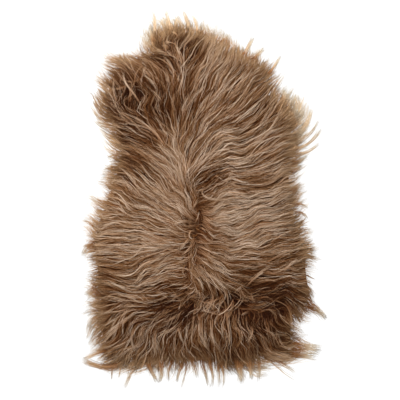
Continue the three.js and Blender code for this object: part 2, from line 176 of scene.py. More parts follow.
# Locks that stand out. Each is a curve from its root past two bends to its tip, and lift is what it adds to
# LOCK_LIFT.
LOCK_COLUMNS = (
    "name", "root_x", "root_y", "bend_x", "bend_y", "turn_x", "turn_y", "tip_x", "tip_y",
    "width", "fibres", "tone", "lift",
)
RIM_LOCKS = (
    ("neck left", -135, 470, -135, 485, -135, 510, -145, 540, 12, 20, 0.50),
    ("neck middle", -95, 480, -95, 495, -100, 515, -110, 540, 14, 22, 0.50),
    ("neck right", -40, 480, -40, 495, -50, 520, -60, 540, 14, 24, 0.50),
    ("neck right edge", -15, 470, -15, 485, -20, 510, -35, 530, 10, 16, 0.50),
    ("neck tip left", -115, 480, -115, 495, -115, 505, -120, 520, 28, 22, 0.52),
    ("neck tip", -70, 485, -70, 500, -75, 510, -80, 525, 28, 24, 0.52),
    ("neck slope upper", 5, 460, 10, 475, 10, 485, 5, 500, 24, 18, 0.50),
    ("neck slope", 50, 435, 60, 450, 65, 460, 70, 475, 24, 18, 0.48),
    ("neck corner left", -140, 435, -145, 450, -150, 475, -155, 500, 12, 16, 0.45),
    ("shoulder curl", -160, 390, -180, 395, -200, 405, -230, 410, 16, 16, 0.45, 2),
    ("shoulder upper", 105, 400, 120, 420, 130, 440, 145, 470, 16, 24, 0.45, 2),
    ("shoulder middle", 130, 385, 145, 405, 160, 420, 175, 435, 16, 24, 0.45, 2),
    ("shoulder lower", 175, 345, 190, 365, 205, 385, 220, 415, 16, 24, 0.45, 2),
    ("right bulge top", 230, 270, 230, 290, 230, 300, 230, 320, 26, 24, 0.48, 2),
    ("right bulge", 260, 250, 265, 270, 260, 285, 260, 305, 24, 22, 0.48, 2),
    ("right bulge lower", 280, 205, 295, 220, 300, 240, 305, 265, 20, 18, 0.45, 2),
    ("right wisp top", 265, 195, 285, 200, 300, 220, 305, 260, 14, 16, 0.45, 2),
    ("right wisp upper", 245, 165, 280, 165, 320, 195, 325, 235, 14, 16, 0.42, 4),
    ("right wisp middle", 245, 145, 285, 145, 320, 175, 335, 210, 14, 16, 0.42, 4),
    ("right wisp inner", 245, 130, 280, 130, 310, 140, 330, 170, 14, 16, 0.42, 4),
    ("right wisp lower", 235, 105, 260, 105, 280, 110, 295, 130, 14, 14, 0.38, 4),
    ("right wisp low", 235, 80, 255, 80, 270, 90, 285, 105, 12, 12, 0.38, 4),
    ("right waist hook", 230, 15, 255, 30, 265, 35, 275, 50, 14, 12, 0.38, 4),
    ("right flank hook", 240, -20, 265, -5, 285, -10, 300, -25, 16, 14, 0.42, 4),
    ("right flank under", 250, -40, 270, -30, 285, -35, 295, -55, 12, 12, 0.42, 4),
    ("right haunch", 275, -285, 300, -300, 330, -310, 350, -340, 26, 52, 0.40, 4),
    ("right tail", 235, -400, 275, -410, 300, -420, 340, -425, 38, 66, 0.42, 4),
    ("right tail under", 225, -425, 260, -440, 290, -440, 325, -440, 34, 46, 0.38, 2),
    ("tail wisp long", 180, -445, 205, -465, 225, -490, 265, -510, 8, 7, 0.38),
    ("tail wisp", 195, -440, 225, -465, 245, -470, 265, -490, 12, 11, 0.38),
    ("tail fringe right", 155, -440, 160, -465, 160, -480, 155, -520, 12, 14, 0.36),
    ("tail fringe", 135, -435, 130, -465, 135, -485, 135, -510, 20, 38, 0.36),
    ("tail fringe left", 105, -435, 95, -465, 110, -485, 105, -525, 24, 46, 0.36),
    ("tail right", 55, -425, 40, -470, 70, -485, 50, -540, 12, 16, 0.34),
    ("tail right inner", 45, -430, 30, -470, 55, -485, 40, -540, 12, 16, 0.34),
    ("tail middle", 20, -425, 5, -465, 40, -485, 20, -540, 14, 18, 0.34),
    ("tail middle left", 0, -430, -10, -465, 10, -485, 15, -535, 14, 18, 0.34),
    ("tail left", -25, -420, -40, -445, -20, -465, -20, -510, 16, 18, 0.34),
    ("tail left thin", -50, -445, -45, -475, -55, -495, -65, -540, 6, 7, 0.32),
    ("tail hook", -55, -440, -60, -470, -75, -485, -75, -520, 12, 20, 0.36),
    ("tail hook left", -90, -435, -85, -460, -105, -475, -100, -520, 10, 18, 0.36),
    ("tail loop right", -115, -430, -125, -465, -110, -490, -130, -520, 16, 26, 0.36),
    ("tail loop left", -155, -440, -155, -475, -140, -495, -125, -520, 12, 24, 0.36),
    ("tail far left", -195, -460, -205, -480, -210, -505, -230, -535, 14, 14, 0.36),
    ("tail far left short", -235, -470, -235, -480, -240, -495, -240, -505, 5, 6, 0.36),
    ("tail far left thin", -255, -465, -260, -480, -260, -495, -260, -510, 5, 6, 0.36),
    ("left tail upper", -255, -415, -285, -425, -305, -435, -350, -450, 16, 24, 0.36),
    ("left tail", -215, -450, -265, -488, -305, -468, -350, -450, 20, 54, 0.22, 2),
    ("left haunch", -290, -245, -300, -255, -320, -260, -335, -275, 34, 34, 0.42, 4),
    ("left flank", -295, -120, -310, -125, -335, -135, -340, -165, 30, 28, 0.44, 4),
    ("left side hook", -300, -75, -320, -65, -335, -50, -345, -60, 8, 7, 0.40, 2),
    ("left waist", -240, 120, -255, 130, -265, 120, -275, 125, 16, 14, 0.38, 2),
)
TOP_LOCKS = (
    ("neck curl low", -95, 395, -100, 420, -120, 415, -140, 430, 6, 5, 0.80),
    ("neck curl middle", -95, 410, -95, 435, -110, 435, -120, 435, 6, 5, 0.78),
    ("neck curl high", -75, 420, -75, 445, -95, 445, -115, 445, 6, 5, 0.78),
    ("neck curl top", -70, 445, -70, 465, -80, 475, -90, 475, 6, 5, 0.74),
    ("neck pale", -60, 380, -65, 400, -70, 415, -80, 440, 5, 4, 0.88),
    ("shoulder loop", -130, 325, -150, 360, -185, 355, -155, 375, 5, 5, 0.86),
    ("shoulder middle", -100, 250, -120, 290, -150, 310, -170, 335, 6, 5, 0.84),
    ("shoulder double bend", -165, 235, -180, 305, -230, 310, -225, 365, 7, 6, 0.84),
    ("shoulder bow", -230, 255, -250, 275, -255, 310, -250, 345, 6, 5, 0.80),
    ("waist upper", -90, 100, -110, 195, -180, 230, -255, 255, 8, 7, 0.84),
    ("waist lower", -95, 140, -120, 205, -180, 220, -260, 215, 8, 6, 0.82),
    ("curl", 20, 40, -20, 40, -20, -20, 95, 15, 4, 6, 0.88, 2),
    ("curl dash", 25, 70, 35, 70, 45, 65, 55, 55, 4, 4, 0.86),
    ("curl left", -15, 50, 0, 30, 15, 35, 25, 55, 5, 5, 0.70),
    ("curl right", 25, 35, 65, 35, 70, 65, 90, 90, 8, 6, 0.74, -1),
    ("whorl crossing", -25, -70, -20, -55, -15, -45, -10, -30, 3, 4, 0.92, 2),
    ("whorl pale", -30, -70, -45, -55, -65, -55, -90, -70, 6, 6, 0.84, 1),
    ("whorl arc", -30, -90, -40, -110, -55, -125, -75, -145, 8, 7, 0.78),
    ("whorl arc low", -20, -100, -25, -125, -45, -140, -65, -155, 8, 7, 0.78),
    ("spine up", -30, -40, -30, -15, -20, -5, -10, 5, 8, 6, 0.74),
    ("rump hook", -55, -255, -45, -265, -25, -260, -20, -235, 4, 5, 0.84),
    ("rump bowl", -50, -235, -40, -250, -30, -250, -20, -235, 4, 4, 0.84),
    ("rump knot", -145, -255, -125, -250, -110, -260, -100, -270, 8, 6, 0.84),
    ("rump loop", 75, -245, 120, -250, 120, -285, 60, -320, 10, 4, 0.70),
    ("rump twist", -35, -260, 0, -285, 35, -280, 45, -325, 10, 4, 0.74),
    ("rump twist low", -25, -280, 5, -285, 25, -285, 35, -310, 8, 4, 0.78),
    ("rump band", -25, -195, 5, -210, 35, -235, 70, -265, 7, 6, 0.84),
    ("rump band high", -15, -185, 15, -205, 50, -230, 80, -255, 7, 6, 0.82),
    ("rump crossing", 105, -255, 125, -225, 155, -195, 205, -170, 6, 5, 0.80, 2),
    ("rump dash", -65, -285, -65, -295, -70, -300, -70, -305, 3, 3, 0.86, 2),
    ("rump swoop", 100, -270, 130, -305, 165, -295, 190, -275, 8, 7, 0.60),
    ("haunch bow", 225, -280, 235, -295, 250, -320, 245, -375, 8, 7, 0.64),
    ("tail pale wave", 75, -280, 50, -330, 90, -365, 65, -425, 9, 8, 0.80),
    ("tail wave left", -170, -330, -210, -365, -205, -405, -185, -425, 9, 8, 0.78),
    ("tail hook high", -135, -325, -180, -350, -170, -375, -175, -405, 8, 7, 0.76),
    ("tail wave inner", -120, -330, -155, -370, -120, -405, -145, -460, 8, 7, 0.76),
    ("tail zigzag", -80, -345, -55, -360, -75, -375, -50, -400, 6, 6, 0.76),
    ("tail wave middle", -30, -295, 10, -330, -25, -375, 20, -420, 9, 8, 0.76),
    ("tail wave right", 20, -310, 35, -350, 0, -380, 55, -425, 9, 8, 0.80),
    ("tail short wave", 120, -340, 150, -355, 130, -380, 115, -400, 8, 7, 0.78),
    ("tail right wave", 165, -310, 190, -350, 175, -380, 200, -415, 9, 8, 0.58),
    ("tail slant upper", -150, -290, -190, -310, -250, -350, -290, -390, 9, 8, 0.80),
    ("tail slant lower", -180, -305, -210, -330, -260, -365, -285, -400, 9, 8, 0.78),
    ("haunch crossing", 215, -210, 225, -190, 240, -170, 275, -160, 6, 5, 0.76),
    ("haunch sweep", 150, -190, 185, -165, 220, -145, 270, -130, 8, 7, 0.76),
    ("haunch sweep low", 115, -235, 135, -220, 155, -205, 170, -195, 6, 5, 0.70),
    ("flank hook", 180, -125, 205, -100, 230, -85, 260, -80, 6, 6, 0.80),
)
LOCK_LIFT = 6
LOCK_RINGS = 8  # rings along a strand of a lock or tangle
LOCK_TONE_SPREAD = 0.12

# Places where loose wisps curl every way on top of the wool
TANGLE_COLUMNS = ("name", "x", "y", "radius_x", "radius_y", "curls", "length", "tone")
TANGLES = (
    ("rump", 40, -285, 40, 16, 32, 60, 0.76),
    ("rump left", -60, -270, 35, 12, 16, 50, 0.68),
    ("rump right", 150, -290, 45, 12, 10, 60, 0.54),
    ("curl", 20, 40, 18, 18, 8, 40, 0.66),
    ("whorl", -30, -80, 14, 14, 5, 40, 0.68),
    ("spine", -25, -190, 20, 40, 16, 50, 0.74),
    ("neck", -105, 430, 25, 22, 14, 40, 0.66),
    ("shoulder", -190, 310, 35, 30, 14, 60, 0.72),
)

# Kinds of wool, one in each column: long, stray and middle wool, underwool, and the rim's fringe and skirt.
# Wisps are spread evenly over the rug, and the fibres of each run side by side to its tip.
LOOKS = (
    ("spacing", 24, 24, 16, 21, 5.75, 8.6),  # distance between wisps
    ("fibres", 7, 3, 2, 3, 3, 2),  # in each wisp
    ("inner", 999, 999, 999, 999, 8, 34),  # tips lie from this far inside the rim
    ("edge", 4, 6, 1, 0, 4, -2),  # to as far as this outside it
    ("fringe", 40, 36, 28, 20, 44, 20),  # and get rarer from there to this far
    ("length", 165, 150, 100, 75, 70, 55),  # of a fibre
    ("least_length", 45, 45, 30, 20, 25, 20),  # shorter ones are left out
    ("rings", 9, 8, 6, 3, 3, 4),  # along a fibre
    ("radius", 0.62, 0.5, 1.05, 2.6, 0.42, 1.6),  # of a fibre
    ("thin", 0.6, 0.8, 0.6, 0.7, 0.7, 1.0),  # share of its radius that is left at the rim
    ("spread", 11, 2.2, 5, 7, 5, 6),  # how far apart fibres lie in a wisp
    ("tip_spread", 2.5, 1.6, 2.5, 5, 4, 3),  # and at its tip
    ("stagger", 13, 8, 8, 8, 6, 6),  # how far apart their ends lie along it
    ("draw", 0, 0, 0.5, 0, 0.25, 0.1),  # share of the way that rim tips are drawn to those of long wool
    ("wave", 3.2, 3.8, 2.0, 1.5, 1.2, 1.2),  # size of the waves
    ("wave_length", 80, 80, 65, 55, 60, 60),
    ("lean", 0.07, 0.09, 0.10, 0.12, 0.15, 0.12),  # how far wisps turn from the combing
    ("low", 0.5, 0.5, 0.4, 0.3, 0.55, 0.3),  # height at the root, as a share of that at the tip
    ("rise", 0.5, 0.5, 0.6, 0.7, 1.0, 1.0),  # power by which a wisp rises from root to tip
    ("top", 1.07, 1.1, 0.97, 0.84, 1.0, 0.6),  # height at the tip, as a share of the pile's
    ("lift", 3.0, 3.0, 2.0, 1.5, 2.0, 1.0),  # unevenness of the heights
    ("tone", 0.44, 0.88, 0.375, 0.30, 0.58, 0.40),  # colour, from 0 for dark to 1 for pale
    ("tone_spread", 0.08, 0.14, 0.06, 0.08, 0.10, 0.08),  # how wisps differ in it
    ("fibre_spread", 0.20, 0.12, 0.12, 0.04, 0.05, 0.05),  # how fibres differ in it
    ("patch", 1.2, 0.6, 1.2, 1.2, 0.5, 0.5),  # share of the patches' tone that it takes
)
LOOK_NAMES, *KINDS = zip(*LOOKS)
Look = namedtuple("Look", LOOK_NAMES)
LONG_WOOL, STRAY_WOOL, MIDDLE_WOOL, UNDERWOOL, FRINGE, SKIRT = (Look(*kind) for kind in KINDS)

# Unevenness of the wool: how strong it is, and the size of its lumps
UNEVEN_COMB = (0.10, 40)
UNEVEN_TONE = (0.05, 30)
UNEVEN_LEAN = (1, 22)
UNEVEN_PHASE = (0.5, 40)
UNEVEN_LIFT = (1, 14)
UNEVEN_HEIGHT = (3, 18)
SMALL_TUFTS = (6, 10)
LARGE_TUFTS = (5, 24)

# How wisps and fibres of one kind differ
LENGTH_SPREAD = 0.25
WAVE_SPREAD = 0.4
WAVE_LENGTH_SPREAD = 0.15
WISP_PHASE_SPREAD = 0.6
FIBRE_PHASE_SPREAD = 0.15
LEAN_SPREAD = 0.8
RADIUS_SPREAD = 0.2

# What a patch's wave adds to the size of the waves, and to how far wisps lean apart
WAVE_BY_PATCH = 0.6
LEAN_BY_PATCH = 0.15

TIP_RADIUS = 0.12
TINY = 1e-9  # least length that is divided by

# The working grid over the rug
CELL = 4.0
GRID_MARGIN = 40
GRID_X = np.arange(-HALF_WIDTH - GRID_MARGIN, HALF_WIDTH + GRID_MARGIN, CELL)
GRID_Y = np.arange(-HALF_LENGTH - GRID_MARGIN, HALF_LENGTH + GRID_MARGIN, CELL)


def columns(names, rows):
    """A table's columns by name. Rows may leave out zeros at their end."""
    return {name: np.array(column) for name, column in zip(names, zip_longest(*rows, fillvalue=0))}


SECTION = columns(SECTION_COLUMNS, SECTIONS[::-1])
PATCH = columns(PATCH_COLUMNS, PATCHES)


def section(name, y):
    """A column of the section table at any y, on a smooth curve through its rows."""
    knots, values = SECTION["y"], SECTION[name]
    slopes = np.gradient(values, knots)
    y = np.clip(y, knots[0], knots[-1])
    i = np.clip(np.searchsorted(knots, y, side="right") - 1, 0, len(knots) - 2)
    gap = knots[i + 1] - knots[i]
    t = (y - knots[i]) / gap
    rise = values[i + 1] - values[i]
    ease = t * t * (3 - 2 * t)
    start = t * (1 - t) ** 2 * slopes[i] * gap
    end = t * t * (t - 1) * slopes[i + 1] * gap
    return values[i] + ease * rise + start + end


def smoothed(values, radius, radius_y=None):
    """Values on the working grid, blurred over a radius, or over one radius across and one along."""
    radius_y = radius if radius_y is None else radius_y
    rate_y = np.fft.fftfreq(values.shape[0], CELL)[:, None]
    rate_x = np.fft.fftfreq(values.shape[1], CELL)[None, :]
    keep = np.exp(-2 * math.pi**2 * ((radius * rate_x) ** 2 + (radius_y * rate_y) ** 2))
    return np.fft.ifft2(np.fft.fft2(values) * keep).real


def noise(rng, size, size_y=None):
    """Smooth random values on the working grid, about 0, with lumps of a size in millimetres."""
    values = smoothed(rng.normal(size=(len(GRID_Y), len(GRID_X))), size, size_y)
    return values / values.std()


def uneven(rng, amount, size):
    """One kind of unevenness, as a grid."""
    return amount * noise(rng, size)


def read(values, at):
    """Values of the working grid at any points, blended between its nearest four."""
    u = np.clip((at[..., 0] - GRID_X[0]) / CELL, 0, len(GRID_X) - 1.001)
    v = np.clip((at[..., 1] - GRID_Y[0]) / CELL, 0, len(GRID_Y) - 1.001)
    i, j = u.astype(int), v.astype(int)
    u, v = u - i, v - j
    low = values[j, i] * (1 - u) + values[j, i + 1] * u
    high = values[j + 1, i] * (1 - u) + values[j + 1, i + 1] * u
    return low * (1 - v) + high * v


def across_section(x, y):
    """Where points lie across their sections: -1 at the left rim, 0 at the spine and 1 at the right rim."""
    spine = section("spine", y)
    half = np.where(x < spine, spine - section("left", y), section("right", y) - spine)
    return (x - spine) / half


def rim_field():
    """How far the working grid's points lie inside the rim of the dense wool, or outside it if below 0."""
    RIM_STEP = 3
    END_STEPS = 120
    tail_end, neck_end = SECTION["y"][[0, -1]]
    side_y = np.arange(tail_end + END_BOW, neck_end - END_BOW, RIM_STEP)
    across = np.linspace(-1, 1, END_STEPS)
    rim = [np.stack([section(side, side_y), side_y], axis=1) for side in ("left", "right")]
    for y in (tail_end + END_BOW * across**2, neck_end - END_BOW * across**2):
        spine = section("spine", y)
        half = np.where(across < 0, spine - section("left", y), section("right", y) - spine)
        rim.append(np.stack([spine + across * half, y], axis=1))
    rim_x, rim_y = np.concatenate(rim).T
    far = np.stack([np.hypot(GRID_X[:, None] - rim_x, y - rim_y).min(axis=1) for y in GRID_Y])
    x, y = np.meshgrid(GRID_X, GRID_Y)
    bow = END_BOW * np.clip(across_section(x, y), -1, 1) ** 2
    inside = (x > section("left", y)) & (x < section("right", y))
    inside &= (y > tail_end + bow) & (y < neck_end - bow)
    return np.where(inside, far, -far)


def below_parting(at):
    """How far points lie on the tail's side of the rump parting, or 0 beside its ends."""
    x, y = at.T
    parting_x, parting_y = zip(*RUMP_PARTING)
    line = np.interp(x, parting_x, parting_y)
    beside = (x < parting_x[0]) | (x > parting_x[-1])
    return np.where(beside, 0, line - y)


def comb_field(rng):
    """The direction in which the wool lies, as two grids, with the waves that neighbouring wisps share."""
    COMB_BLUR = 5
    CRIMP = 0.26  # how far the shared waves turn the combing
    CRIMP_BY_PATCH = 0.04  # what a patch's wave adds to that
    ALONG = 12  # size of the shared waves along the combing
    ACROSS = 36  # and across it
    x, y = np.meshgrid(GRID_X, GRID_Y)
    across = np.clip(across_section(x, y), -1, 1)
    angles = [np.radians(section(place, y)) for place in COMB_PLACES]
    after = np.clip(np.searchsorted(COMB_PLACES, across), 1, len(COMB_PLACES) - 1)
    before = after - 1
    low, high = np.take(COMB_PLACES, before), np.take(COMB_PLACES, after)
    share = (across - low) / (high - low)
    heading = []
    for part in (np.cos(angles), np.sin(angles)):
        first = np.take_along_axis(part, before[None], 0)[0]
        second = np.take_along_axis(part, after[None], 0)[0]
        heading.append(smoothed(first + share * (second - first), COMB_BLUR))
    crimp = heading[0] ** 2 * noise(rng, ALONG, ACROSS) + heading[1] ** 2 * noise(rng, ACROSS, ALONG)
    wavy = CRIMP + CRIMP_BY_PATCH * patch_field("wave")
    turn = np.arctan2(heading[1], heading[0]) + uneven(rng, *UNEVEN_COMB) + wavy * crimp
    return np.cos(turn), np.sin(turn)


def patch_field(name):
    """What the table of patches adds, as a grid."""
    x, y = np.meshgrid(GRID_X, GRID_Y)
    total = np.zeros_like(x)
    for i, amount in enumerate(PATCH[name]):
        far_x = (x - PATCH["x"][i]) / PATCH["radius_x"][i]
        far_y = (y - PATCH["y"][i]) / PATCH["radius_y"][i]
        total += amount * np.exp(-(far_x**2) - far_y**2)
    return total


def height_field(lift):
    """Height of the wool's top as a grid: the pile inside the rim, and hanging wool outside it."""
    short = 1 - np.clip(INSIDE / SHOULDER, 0, 1)
    rise = 1 - short * short
    pile = section("pile", GRID_Y)[:, None] + lift - RIM_HEIGHT
    return (RIM_HEIGHT + rise * pile) * np.exp(np.minimum(INSIDE, 0) / HANG)


rng = np.random.default_rng(SEED)
INSIDE = rim_field()
COMB_X, COMB_Y = comb_field(rng)
TONE = patch_field("tone") + uneven(rng, *UNEVEN_TONE)
WAVE = patch_field("wave")
LEAN = uneven(rng, *UNEVEN_LEAN)
PHASE = uneven(rng, *UNEVEN_PHASE)
# How far in the rim's colour goes; that colour is partly painted glow of light shining through thin fibres
GLOW = RIM_GLOW + patch_field("glow")
LIFT = uneven(rng, *UNEVEN_LIFT)
small_tufts = uneven(rng, *SMALL_TUFTS)
HEIGHT = smoothed(height_field(patch_field("lift") + uneven(rng, *UNEVEN_HEIGHT)), HEIGHT_BLUR)
REACH = USUAL_REACH + small_tufts + patch_field("reach") + uneven(rng, *LARGE_TUFTS)


def unit(vectors):
    """Vectors of length 1 in the same directions."""
    return vectors / np.maximum(np.linalg.norm(vectors, axis=-1, keepdims=True), TINY)


def comb_at(at):
    """Unit vectors along the combing at points."""
    return unit(np.stack([read(COMB_X, at), read(COMB_Y, at)], axis=1))


def follow_back(tip, length, steps, overlap):
    """Lines from root to tip that follow the combing back from each tip, and how far each one got.

    A line ends where the combing turns sharply, as at the spine, and at the rump parting, give or take an
    overlap.
    """
    SHARPEST_TURN = 0.5  # cosine of the turn from one step to the next
    step = length / steps
    at, heading = tip, comb_at(tip)
    of_tail = below_parting(tip) > 0
    going = np.ones(len(tip), bool)
    line = [at]
    for _ in range(steps):
        here = comb_at(at)
        going &= (here * heading).sum(axis=1) > SHARPEST_TURN
        going &= ~(of_tail & (below_parting(at) < overlap))
        at = at - np.where(going, step, 0)[:, None] * here
        heading = here
        line.append(at)
    line = np.stack(line[::-1], axis=1)
    return line, np.linalg.norm(np.diff(line, axis=1), axis=2).sum(axis=1)


def spread(rng, look):
    """Points for the tips of one kind of wool, spread evenly over its part of the rug."""
    THINNING = 1.5  # power by which loose ends get rarer outwards
    across = np.arange(-HALF_WIDTH, HALF_WIDTH, look.spacing)
    along = np.arange(-HALF_LENGTH, HALF_LENGTH, look.spacing)
    x, y = np.meshgrid(across, along)
    x = x + look.spacing * rng.uniform(-0.5, 0.5, x.shape)
    y = y + look.spacing * rng.uniform(-0.5, 0.5, y.shape)
    tip = np.stack([x.ravel(), y.ravel()], axis=1)
    inside = read(INSIDE, tip)
    far = rng.uniform(size=len(tip)) ** THINNING
    longer = read(REACH, tip)
    loose = np.clip(1 + (longer - LEAST_REACH) / CROP, LEAST_LOOSE, 1)
    longer = np.where(longer > 0, longer * look.fringe / FRINGE.fringe, np.maximum(longer, LEAST_REACH))
    reach = look.edge + (look.fringe - look.edge) * far * loose + longer
    return tip[(inside > -reach) & (inside < look.inner)]


def nearest(points, targets):
    """The nearest target to each point, worked out in batches to save memory."""
    BATCHES = 50
    found = []
    for batch in np.array_split(points, BATCHES):
        far = ((batch[:, None] - targets) ** 2).sum(axis=2)
        found.append(targets[far.argmin(axis=1)])
    return np.concatenate(found)


def side_of(line):
    """Unit vectors to the left of lines in the plane."""
    along = np.gradient(line, axis=1)
    return unit(np.stack([-along[..., 1], along[..., 0]], axis=2))


def rim_glow(at):
    """The rim's share at points: RIM_WARMTH at the rim, less inside it, and up to 1 outside it."""
    # The rim's colour that this share brings in is partly the wool's own and partly painted glow of light
    # through thin fibres
    MOST_FADED = 2  # where the warm colour goes deep, wool gets pale this much sooner outside the rim
    inside = read(INSIDE, at)
    glow = read(GLOW, at)
    within = RIM_WARMTH * np.exp(-np.clip(inside, 0, None) / glow)
    faded = np.clip(glow / RIM_GLOW, 0, MOST_FADED)
    return within + (1 - RIM_WARMTH) * np.clip(-inside / PALE_REACH * faded, 0, np.minimum(faded, 1))


def finished(line, z, radius, tone, share):
    """Strands as lines in space with their radii and the values that their material reads."""
    lines = np.concatenate([line, np.clip(z, radius + FLOOR_GAP, HIGHEST)[..., None]], axis=2)
    values = {
        "tone": np.broadcast_to(tone[:, None], radius.shape),
        "along": np.broadcast_to(share, radius.shape),
        "rim": rim_glow(line),
    }
    return lines, radius, values


def chosen(strands, keep):
    """Some of a set of strands."""
    lines, radius, values = strands
    return lines[keep], radius[keep], {key: value[keep] for key, value in values.items()}


def within_reach(line):
    """Which lines stay in the rug's reach."""
    return (np.abs(line) < (HALF_WIDTH + STRAY_REACH, HALF_LENGTH + STRAY_REACH)).all(axis=(1, 2))


def varied(draws, spread, least=0.5, most=1.6):
    """Random draws as factors about 1."""
    return np.clip(1 + spread * draws, least, most)


def grow(rng, look, wisp_tip, lock_tip):
    """Strands of one kind of wool, from the tips of its wisps and those of the long wool's."""
    OVERLAP = 8  # how far wisps differ in where they end at the rump parting
    WHOLE = 0.95  # a line with less of its length than this met a parting
    SHORTENED = 0.25  # such lines are shortened by up to this, so that their roots don't line up
    WAVE_START = 0.7  # power by which waves grow from the root
    DRAW_DEPTH = 30  # distance from the rim over which tips are drawn together
    THIN_DEPTH = 45  # distance from the rim over which fibres get their full radius
    LIFT_HEIGHT = 40  # wool of this height has all of the unevenness
    TAPER_START = 3
    TAPER_END = 0.8
    SLIM = 0.75  # a fibre's radius near its root, as a share of that at its middle
    wisp = np.repeat(np.arange(len(wisp_tip)), look.fibres)

    def by_wisp():
        """One random number for each wisp, given to every fibre in it."""
        return rng.normal(size=len(wisp_tip))[wisp]

    def by_fibre():
        """One random number for each fibre."""
        return rng.normal(size=len(wisp))

    heading = comb_at(wisp_tip)[wisp]
    tip = wisp_tip[wisp] + (look.stagger * by_fibre())[:, None] * heading
    length = look.length * varied(by_wisp(), LENGTH_SPREAD)
    overlap = OVERLAP * by_wisp()
    _, reach = follow_back(tip, length, look.rings, overlap)
    stopped = reach < WHOLE * length
    reach = np.where(stopped, reach * (1 - SHORTENED * np.abs(np.sin(by_wisp()))), reach)
    reach = np.maximum(reach, 1)
    line, _ = follow_back(tip, reach, look.rings, overlap)

    share = np.linspace(0, 1, look.rings + 1)[None]
    middle = line[:, look.rings // 2]
    patch_wave = read(WAVE, middle)
    wave_size = (look.wave + WAVE_BY_PATCH * patch_wave) * (1 + WAVE_SPREAD * by_wisp())
    wave_length = look.wave_length * varied(by_wisp(), WAVE_LENGTH_SPREAD, 0.6, 1.5)
    phase = 2 * math.pi * read(PHASE, middle)
    phase = phase + WISP_PHASE_SPREAD * by_wisp() + FIBRE_PHASE_SPREAD * by_fibre()
    turn = 2 * math.pi * share * (reach / wave_length)[:, None] + phase[:, None]
    wave = wave_size[:, None] * share**WAVE_START * np.sin(turn)
    tousled = 1 + LEAN_BY_PATCH * patch_wave
    lean = look.lean * (read(LEAN, middle) + LEAN_SPREAD * tousled * by_wisp()) * reach
    body = look.spread * rng.uniform(-1, 1, len(wisp))
    ends = look.tip_spread * by_fibre()
    aside = wave - lean[:, None] * (1 - share) + body[:, None] * (1 - share**2) + ends[:, None] * share**2
    line = line + aside[..., None] * side_of(line)
    pull = look.draw * np.exp(-np.clip(read(INSIDE, tip), 0, None) / DRAW_DEPTH)
    drawn = pull[:, None] * (nearest(tip, lock_tip) - tip)
    line = line + drawn[:, None] * share[..., None] ** 2

    top = read(HEIGHT, line)
    level = look.low + (1 - look.low) * share**look.rise
    lift = look.lift * (read(LIFT, tip) + by_wisp())
    z = look.top * top * level + lift[:, None] * np.minimum(1, top / LIFT_HEIGHT) * share
    thick = look.radius * varied(by_fibre(), RADIUS_SPREAD)
    taper = (1 - share**TAPER_START) ** TAPER_END * (SLIM + (1 - SLIM) * np.sin(math.pi * share))
    radius = thick[:, None] * taper + TIP_RADIUS
    inside = np.clip(read(INSIDE, line) / THIN_DEPTH, 0, 1)
    radius = radius * (look.thin + (1 - look.thin) * inside)
    tone = look.tone + look.patch * read(TONE, middle)
    tone = tone + look.tone_spread * by_wisp() + look.fibre_spread * by_fibre()
    keep = within_reach(line) & (reach > look.least_length)
    return chosen(finished(line, z, radius, tone, share), keep)


def grow_locks(rng, rows, thick, loose, loose_tip):
    """Strands of single locks: fibres that run side by side from the root and draw together to the tip."""
    FALL_SHORT = 0.11  # share of the lock by which fibres end before its tip
    MOST_SHORT = 0.5
    WAVE_SIZE = 1.2
    WAVES = 1.3  # in the length of a lock
    DRAW_IN = 1.2  # power by which the fibres draw together
    LIFT_SHARE = 0.6
    LIFT_SPREAD = 0.3
    LIFT_HEIGHT = 30  # wool of this height gives a lock all of its lift
    ROOT_LEVEL = 0.5  # height of the roots, as a share of the wool's
    RISE = 1.6  # how fast a lock comes to the top of the wool
    TAPER_START = 5
    table = columns(LOCK_COLUMNS, rows)
    lock = np.repeat(np.arange(len(rows)), table["fibres"])
    count = len(lock)
    root, bend, turn, tip = (
        np.stack([table[place + "_x"], table[place + "_y"]], axis=1)[lock][:, None].astype(float)
        for place in ("root", "bend", "turn", "tip")
    )
    share = np.linspace(0, 1, LOCK_RINGS + 1)[None]
    gone = share * (1 - np.clip(FALL_SHORT * np.abs(rng.normal(size=count)), 0, MOST_SHORT))[:, None]
    t = gone[..., None]
    line = root * (1 - t) ** 3 + 3 * bend * t * (1 - t) ** 2 + 3 * turn * t * t * (1 - t) + tip * t**3
    width = table["width"][lock]
    wide = loose * width * rng.normal(size=count)
    stray = loose_tip * width * rng.normal(size=count)
    phase = 2 * math.pi * rng.uniform(size=count)
    wave = WAVE_SIZE * np.sin(2 * math.pi * WAVES * share + phase[:, None]) * share
    aside = wide[:, None] * (1 - share) ** DRAW_IN + stray[:, None] * share + wave
    line = line + aside[..., None] * side_of(line)
    top = read(HEIGHT, line)
    lift = (LOCK_LIFT + table["lift"][lock]) * (LIFT_SHARE + LIFT_SPREAD * rng.normal(size=count))
    thickness = varied(rng.normal(size=count), RADIUS_SPREAD, 0.6, 1.5)
    radius = thick * (1 - share**TAPER_START) * thickness[:, None] + TIP_RADIUS
    buried = np.minimum(1, ROOT_LEVEL + RISE * share)
    z = top * buried + lift[:, None] * np.minimum(1, top / LIFT_HEIGHT) * np.minimum(1, 2 * share)
    tone = table["tone"][lock] + LOCK_TONE_SPREAD * rng.normal(size=count)
    return chosen(finished(line, z, radius, tone, share), within_reach(line))


